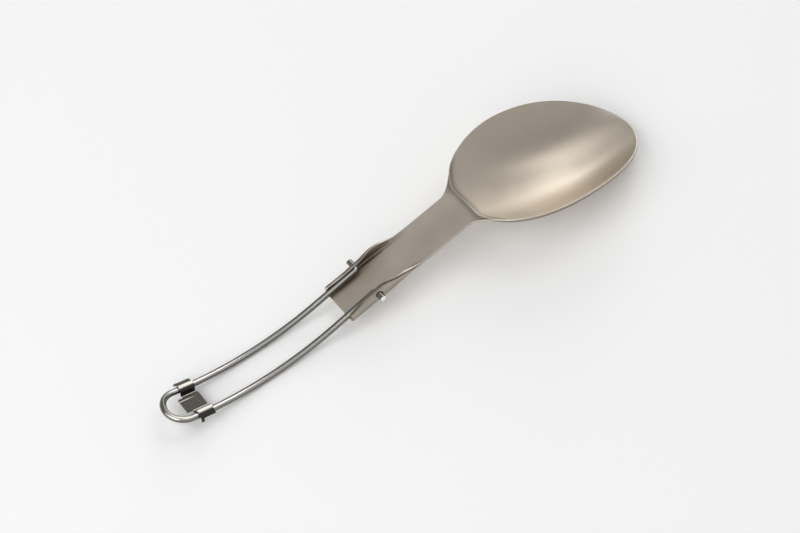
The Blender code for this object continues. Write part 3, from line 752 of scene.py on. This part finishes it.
# Rounding of the pins' ends, and how many of its rings carry the painted highlight
PIN_END_ROUND = 0.00014
CAP_STEPS, HIGHLIGHT_CAP_RINGS = 6, 4
# Steps along the wire
PIN_STEPS, BEND_STEPS, STRAIGHT_STEPS, BOW_STEPS, LOOP_STEPS = 23, 19, 29, 129, 72
# How much shorter the drawn lines' pattern sees the wire, and the way the side with the painted highlight
# faces
DRAWN_STRETCH = 0.02
HIGHLIGHT_SIDE = np.array([0, -0.44, 0.9])


def wire_line(size):
    """The wire's middle line and its upward direction at each point, from the far pin round to the near one.

    The pin and its bend turn a quarter circle, the leg is straight and then an arc about the bow's
    centre, and the loop is half a circle in the plane of the leg's rear end.
    """
    along = np.array([-cos(size.bow_front), 0, -sin(size.bow_front)])
    leg_y = size.leg_gap_front / 2
    pin_end = HeadShape(size).wall_outside + size.pin_proud
    pin_y = spread(pin_end, leg_y + size.pin_bend, PIN_STEPS)[:-1]
    pin = vectors(PIN[0], pin_y, PIN[2])
    turn = spread(0, pi / 2, BEND_STEPS)[:, None]
    bend = PIN + along * size.pin_bend * (1 - np.cos(turn)) + np.array([0, 1, 0]) * (
        leg_y + size.pin_bend * (1 - np.sin(turn)))
    run = spread(size.pin_bend, size.leg_straight, STRAIGHT_STEPS)[1:, None]
    straight = PIN + along * run
    slope = spread(size.bow_front, -size.bow_rear, BOW_STEPS)[1:]
    bow = BOW_CENTRE + vectors(np.sin(slope), 0, -np.cos(slope)) * size.bow_radius
    leg = np.concatenate([straight, bow])
    leg_run = PIN[0] - bow[-1, 0]
    taper = (size.leg_gap_rear - size.leg_gap_front) / 2
    leg[:, 1] = leg_y + taper * (PIN[0] - leg[:, 0]) / leg_run
    far = np.concatenate([pin, bend, leg])
    slopes = np.concatenate([np.full(len(far) - len(slope), size.bow_front), slope])
    radius = size.leg_gap_rear / 2
    back = np.array([-cos(size.bow_rear), 0, sin(size.bow_rear)])
    half_turn = spread(0, pi, LOOP_STEPS)[1:-1, None]
    middle = leg[-1] * (1, 0, 1)
    loop = middle + back * radius * np.sin(half_turn) + np.array([0, 1, 0]) * radius * np.cos(half_turn)
    near = far[::-1] * (1, -1, 1)
    line = np.concatenate([far, loop, near])
    slopes = np.concatenate([slopes, np.full(len(loop), -size.bow_rear), slopes[::-1]])
    upward = vectors(-np.sin(slopes), 0, np.cos(slopes))
    return line, upward


def wire_mesh(size):
    """Points, faces, drawn coordinates and painted highlight share of the wire: a circle carried along its
    middle line, with each end rounded over by a quarter circle. The highlight is painted on the side that
    faces up and near, and on the pins' ends."""
    line, upward = wire_line(size)
    direction = np.gradient(line, axis=0)
    direction /= np.linalg.norm(direction, axis=1, keepdims=True)
    side = np.cross(direction, upward)
    side /= np.linalg.norm(side, axis=1, keepdims=True)
    radius = size.wire / 2
    steps = spread(0, pi / 2, CAP_STEPS)[1:]
    cap_radius = radius - PIN_END_ROUND * (1 - np.sin(steps))
    cap_back = PIN_END_ROUND * (1 - np.cos(steps))
    start = line[0] + direction[0] * cap_back[:, None]
    end = line[-1] - direction[-1] * cap_back[::-1, None]
    keep = np.abs(line[:, 1]) < np.abs(line[0, 1]) - PIN_END_ROUND
    line = np.concatenate([start, line[keep], end])
    radii = np.concatenate([cap_radius, np.full(keep.sum(), radius), cap_radius[::-1]])
    upward, side = (np.concatenate([part[:CAP_STEPS], part[keep], part[-CAP_STEPS:]])
                    for part in (upward, side))
    turn = np.linspace(0, 2 * pi, ROUND_SIDES, endpoint=False)
    spoke = upward[:, None] * np.cos(turn)[:, None] + side[:, None] * np.sin(turn)[:, None]
    rings = line[:, None] + spoke * radii[:, None, None]
    count = rings.shape[0] * rings.shape[1]
    points = np.concatenate([rings.reshape(-1, 3), line[[0, -1]]])
    last = count - ROUND_SIDES
    faces = grid_faces(rings.shape[0], ROUND_SIDES, closed=True, turn=-1).tolist()
    neighbours = [(step, (step + 1) % ROUND_SIDES) for step in range(ROUND_SIDES)]
    faces += [[after, before, count] for before, after in neighbours]
    faces += [[last + before, last + after, count + 1] for before, after in neighbours]
    travelled = np.concatenate([[0], np.cumsum(np.linalg.norm(np.diff(line, axis=0), axis=1))])
    drawn = vectors(np.cos(turn) * radius, np.sin(turn) * radius, travelled[:, None] * DRAWN_STRETCH)
    drawn = np.concatenate([drawn.reshape(-1, 3), np.zeros((2, 3))])
    # Painted highlight on the side that faces up and near, and on the pins' ends
    rubbed = np.clip(spoke @ HIGHLIGHT_SIDE, 0, 1)
    rubbed[:HIGHLIGHT_CAP_RINGS] = rubbed[-HIGHLIGHT_CAP_RINGS:] = 1
    rubbed = np.concatenate([rubbed.ravel(), np.ones(2)])
    return points, faces, drawn, rubbed


class SPOON_OT_handle(Operator):
    """Build the bent wire handle with its loop and its two pins"""

    bl_idname = "spoon.handle"
    bl_label = "Handle"

    def execute(self, context):
        points, faces, drawn, rubbed = wire_mesh(context.scene.spoon_sizes)
        handle = mesh_piece("handle_wire", points, faces, wire_finish(context.scene.spoon_colours), "handle",
                            "wire_handle", {"drawn": drawn, "rubbed": rubbed})
        handle.data.set_sharp_from_angle(angle=SHARP_ANGLE)
        return {"FINISHED"}


# The clip


# Steps round the section
PLATE_STEPS, BEAD_STEPS, EDGE_POINTS, FOOT_STEPS, WALL_POINTS = 26, 10, 2, 8, 5
OVER_STEPS, FLAP_STEPS, HANG_STEPS, DROP_STEPS = 32, 6, 5, 3
# Steps along the clip
CORNER_STEPS, REAR_STEPS, TAB_STEPS, TUBE_STEPS, FRONT_STEPS = 5, 5, 3, 15, 2
# The edges' bevel as a share of the sheet
CLIP_EDGE_SHARE = 0.2


def clip_section(size):
    """Points (y, z) of half the clip's section, measured from the legs' middle height, from the plate's
    middle out: plate, raised line (a squared sine), foot, wall, the arc over the leg, flap and tab. Also the
    numbers of the points where the plate and the flap end."""
    wrap = size.wire / 2 + size.clip_clearance
    leg_y = (size.leg_gap_rear + size.leg_gap_front) / 4
    plate_z = -size.clip_depth - size.clip_sheet
    foot_y = leg_y - wrap - size.clip_foot
    plate_edge = foot_y - size.clip_bead_place - size.clip_bead / 2
    wall_start = plate_z + size.clip_foot
    line_share = spread(0, 1, BEAD_STEPS)[1:]
    turn = spread(0, pi / 2, FOOT_STEPS)[1:]
    over = spread(pi, pi / 2 - size.clip_flap, OVER_STEPS)
    flap = spread(0, size.clip_flap_run, FLAP_STEPS)[1:]
    hang = spread(size.clip_flap, pi / 2, HANG_STEPS)[1:]
    drop = spread(0, size.clip_tab_drop - size.clip_foot, DROP_STEPS)[1:]
    flap_y = leg_y + wrap * sin(size.clip_flap) + flap * cos(size.clip_flap)
    flap_z = wrap * cos(size.clip_flap) - flap * sin(size.clip_flap)
    tab_y = flap_y[-1] + size.clip_foot * (np.sin(hang) - sin(size.clip_flap))
    tab_z = flap_z[-1] + size.clip_foot * (np.cos(hang) - cos(size.clip_flap))
    y = np.concatenate([spread(0, plate_edge, PLATE_STEPS),
                        plate_edge + size.clip_bead * line_share,
                        spread(plate_edge + size.clip_bead, foot_y, EDGE_POINTS)[1:],
                        foot_y + size.clip_foot * np.sin(turn),
                        np.full(WALL_POINTS, leg_y - wrap),
                        leg_y + wrap * np.cos(over), flap_y, tab_y,
                        np.full(DROP_STEPS, tab_y[-1])])
    z = np.concatenate([np.full(PLATE_STEPS + 1, plate_z),
                        plate_z + size.clip_bead_rise * np.sin(pi * line_share) ** 2,
                        np.full(EDGE_POINTS, plate_z),
                        plate_z + size.clip_foot * (1 - np.cos(turn)),
                        np.linspace(wall_start, 0, WALL_POINTS + 2)[1:-1],
                        wrap * np.sin(over), flap_z, tab_z, tab_z[-1] - drop])
    return y, z, PLATE_STEPS, len(y) - 1 - HANG_STEPS - DROP_STEPS


def clip_mesh(size):
    """Points and faces of the clip's sheet: its section carried along the bow, without the corners that
    the plate, the tubes and the tabs don't fill. A second raised line fades out on the plate's far side."""
    y, z, plate_end, flap_end = clip_section(size)
    plate_edge = y[plate_end]
    y = np.concatenate([-y[:0:-1], y])
    z = np.concatenate([z[:0:-1], z])
    column = np.abs(np.arange(len(y) - 1) - (len(y) - 2) / 2)
    front = size.clip_tube / 2
    plate_front = front + size.clip_lead
    plate_rear = plate_front - size.clip_plate
    corner = size.clip_corner
    ease = corner * (1 - np.cos(spread(0, pi / 2, CORNER_STEPS)))
    x = np.concatenate([plate_rear + ease,
                        spread(plate_rear + corner, -front, REAR_STEPS)[1:-1],
                        spread(-front, -front + size.clip_tab, TAB_STEPS)[:-1],
                        spread(-front + size.clip_tab, front, TUBE_STEPS),
                        spread(front, plate_front - corner, FRONT_STEPS)[1:-1],
                        plate_front - ease[::-1]])
    in_plate_y = np.abs(y) <= plate_edge
    end_share = np.clip(1 - np.minimum(x - plate_rear, plate_front - x) / corner, 0, 1)
    squeeze = 1 - corner / plate_edge * (1 - np.sqrt(1 - end_share ** 2))
    grid_y = np.where(in_plate_y, y * squeeze[:, None], y)
    mark = np.clip(1 - np.abs(grid_y - size.clip_mark_place) / (size.clip_bead / 2), 0, 1)
    fade = 1 - smooth_step(x, 0, front)
    raised = size.clip_mark_rise * np.sin(mark * pi / 2) ** 2 * fade[:, None]
    grid_z = z + raised * in_plate_y
    grid = vectors(x[:, None], grid_y, grid_z - size.bow_radius)
    tilt = np.array(Matrix.Rotation(size.clip_place, 3, "Y"))
    points = grid.reshape(-1, 3) @ tilt.T + BOW_CENTRE
    middle = (x[:-1] + x[1:]) / 2
    in_tube = (np.abs(middle) < front)[:, None] & (column < flap_end)
    in_tab = ((middle > -front) & (middle < -front + size.clip_tab))[:, None]
    keep = (column < plate_end) | in_tube | in_tab
    used, faces = np.unique(grid_faces(len(x), len(y))[keep.ravel()], return_inverse=True)
    return points[used], faces.reshape(-1, 4)


class SPOON_OT_clip(Operator):
    """Build the folded clip that slides on the legs"""

    bl_idname = "spoon.clip"
    bl_label = "Clip"

    def execute(self, context):
        size = context.scene.spoon_sizes
        points, faces = clip_mesh(size)
        clip = mesh_piece("slider_clip", points, faces, clip_finish(context.scene.spoon_colours), "slider",
                          "lock_slider")
        modify(clip, "SOLIDIFY", thickness=size.clip_sheet, offset=1, use_even_offset=True)
        modify(clip, "BEVEL", width=size.clip_sheet * CLIP_EDGE_SHARE, segments=2, limit_method="ANGLE",
               angle_limit=SHARP_ANGLE)
        apply_modifiers(clip)
        clip.data.set_sharp_from_angle(angle=SHARP_ANGLE)
        return {"FINISHED"}


# The stage


TABLE_REACH = 6.0
TABLE_ROUGHNESS = 0.9
# The room's light, and its strength from near the horizon to near the top
ROOM_COLOUR = (0.98, 0.995, 1.02)
ROOM_LEVELS = {"From Min": 0.1, "From Max": 0.95, "To Min": 0.58, "To Max": 0.33}
# Each lamp's azimuth and elevation in degrees, its width and height in metres, and its face's brightness
LAMPS = {
    "right_softbox": (49, 18, 0.6, 0.85, 2.3),
    "upper_softbox": (19, 57, 0.85, 0.65, 1.4),
    "left_softbox": (192, 38, 1.4, 1.2, 2.05),
}
LAMP_REACH = 1.2
# The photograph's camera, in the spoon's frame: its place, and its right, upward and backward directions
CAMERA_PLACE = (-0.1596417, -0.2668593, 0.4221133)
CAMERA_AXES = ((0.8030644, -0.5910527, -0.0757910), (0.5136644, 0.6221553, 0.5908228),
               (-0.3020537, -0.5133999, 0.8032335))
CAMERA_LENS, CAMERA_SENSOR = 81, 36
CAMERA_REACH = (0.01, 50)


def table_finish(colours):
    """The pale table: a plain matt white that keeps shadows."""
    finish = Finish("pale_table")
    finish.set(base_color=colours.table, roughness=TABLE_ROUGHNESS)
    finish.shader.inputs["Specular IOR Level"].default_value = 0.0
    return finish.material


def lay_table(colours):
    """A square table under the spoon, at nought height."""
    low, high = -TABLE_REACH, TABLE_REACH
    corners = [(low, low, 0), (high, low, 0), (high, high, 0), (low, high, 0)]
    table = meshed("table_top", corners, [(0, 1, 2, 3)])
    table.data.materials.append(table_finish(colours))


def studio_world():
    """The room's own light: even all round, and softly dimmer from the horizon up."""
    world = bpy.data.worlds.new("studio")
    world.use_nodes = True
    tree = world.node_tree
    background = tree.nodes["Background"]
    direction = tree.nodes.new("ShaderNodeTexCoord")
    parts = tree.nodes.new("ShaderNodeSeparateXYZ")
    level = tree.nodes.new("ShaderNodeMapRange")
    level.interpolation_type = "SMOOTHSTEP"
    for place, value in ROOM_LEVELS.items():
        level.inputs[place].default_value = value
    background.inputs["Color"].default_value = (*ROOM_COLOUR, 1)
    tree.links.new(direction.outputs["Generated"], parts.inputs[0])
    tree.links.new(parts.outputs["Z"], level.inputs["Value"])
    tree.links.new(level.outputs["Result"], background.inputs["Strength"])
    return world


def soft_lamp(name, azimuth, elevation, width, height, level):
    """A rectangular soft lamp that faces the spoon from these angles."""
    turn, rise = radians(azimuth), radians(elevation)
    place = Vector((cos(turn) * cos(rise), sin(turn) * cos(rise), sin(rise))) * LAMP_REACH
    data = bpy.data.lights.new(name, "AREA")
    data.shape = "RECTANGLE"
    data.size, data.size_y = width, height
    data.energy = level * width * height * pi
    lamp = added(name, data)
    lamp.location = place
    lamp.rotation_euler = (-place).to_track_quat("-Z", "Y").to_euler()


def photo_camera():
    """The camera, placed and turned as the photograph's was."""
    camera = added("photo_camera", bpy.data.cameras.new("photo_camera"))
    camera.matrix_world = Matrix.Translation(CAMERA_PLACE) @ Matrix(CAMERA_AXES).transposed().to_4x4()
    camera.data.sensor_width = CAMERA_SENSOR
    camera.data.lens = CAMERA_LENS
    camera.data.clip_start, camera.data.clip_end = CAMERA_REACH
    return camera


class SPOON_OT_stage(Operator):
    """Lay the pale table, hang the soft lamps and place the camera"""

    bl_idname = "spoon.stage"
    bl_label = "Stage"

    def execute(self, context):
        scene = context.scene
        lay_table(scene.spoon_colours)
        scene.world = studio_world()
        for name, settings in LAMPS.items():
            soft_lamp(name, *settings)
        scene.camera = photo_camera()
        scene.view_settings.view_transform = "Standard"
        return {"FINISHED"}


class SPOON_PT_panel(Panel):
    """Lists the spoon's pieces and its sizes"""

    bl_idname = "SPOON_PT_panel"
    bl_label = "Folding spoon"
    bl_space_type = "VIEW_3D"
    bl_region_type = "UI"
    bl_category = "Spoon"

    def draw(self, context):
        for piece in PIECES:
            self.layout.operator(piece.bl_idname)
        for group in (context.scene.spoon_sizes, context.scene.spoon_colours):
            for name in group.__annotations__:
                self.layout.prop(group, name)


PIECES = (SPOON_OT_head, SPOON_OT_handle, SPOON_OT_clip, SPOON_OT_stage)
CLASSES = (SpoonSizes, SpoonColours, *PIECES, SPOON_PT_panel)


def register():
    for item in CLASSES:
        bpy.utils.register_class(item)
    bpy.types.Scene.spoon_sizes = PointerProperty(type=SpoonSizes)
    bpy.types.Scene.spoon_colours = PointerProperty(type=SpoonColours)


def unregister():
    del bpy.types.Scene.spoon_colours
    del bpy.types.Scene.spoon_sizes
    for item in reversed(CLASSES):
        bpy.utils.unregister_class(item)


def main():
    register()
    for piece in PIECES:
        group, name = piece.bl_idname.split(".")
        getattr(getattr(bpy.ops, group), name)()
    bpy.context.view_layer.update()


if __name__ == "__main__":
    main()
